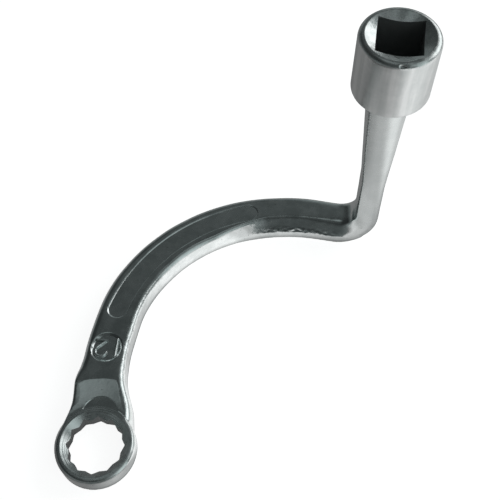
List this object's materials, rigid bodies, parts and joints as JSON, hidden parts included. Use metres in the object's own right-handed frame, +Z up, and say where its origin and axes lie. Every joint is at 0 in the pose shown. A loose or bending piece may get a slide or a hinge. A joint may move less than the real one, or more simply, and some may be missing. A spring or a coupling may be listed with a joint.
{
  "type": "turbo wrench",
  "caption": "Curved offset ring spanner with a twelve-point ring at one end and a square-drive socket on an upright stem at the other.",
  "frame": {"origin": "middle of the bounding box's footprint, on the plane of the flat underside", "axes": "+Z up along the ring's and the socket's axes, +Y from the ring along the neck, +X from the ring toward the socket's side"},
  "size_m": [0.0854, 0.0832, 0.0713],
  "materials": {
    "shank_chrome": "bright chrome over a forged skin",
    "socket_chrome": "satin chrome over a turned skin",
    "weld_chrome": "satin chrome over a dressed weld"
  },
  "bodies": {
    "root": {"forged_shank": "shank_chrome", "drive_socket": "socket_chrome", "weld_fillet": "weld_chrome"}
  },
  "joints": []
}
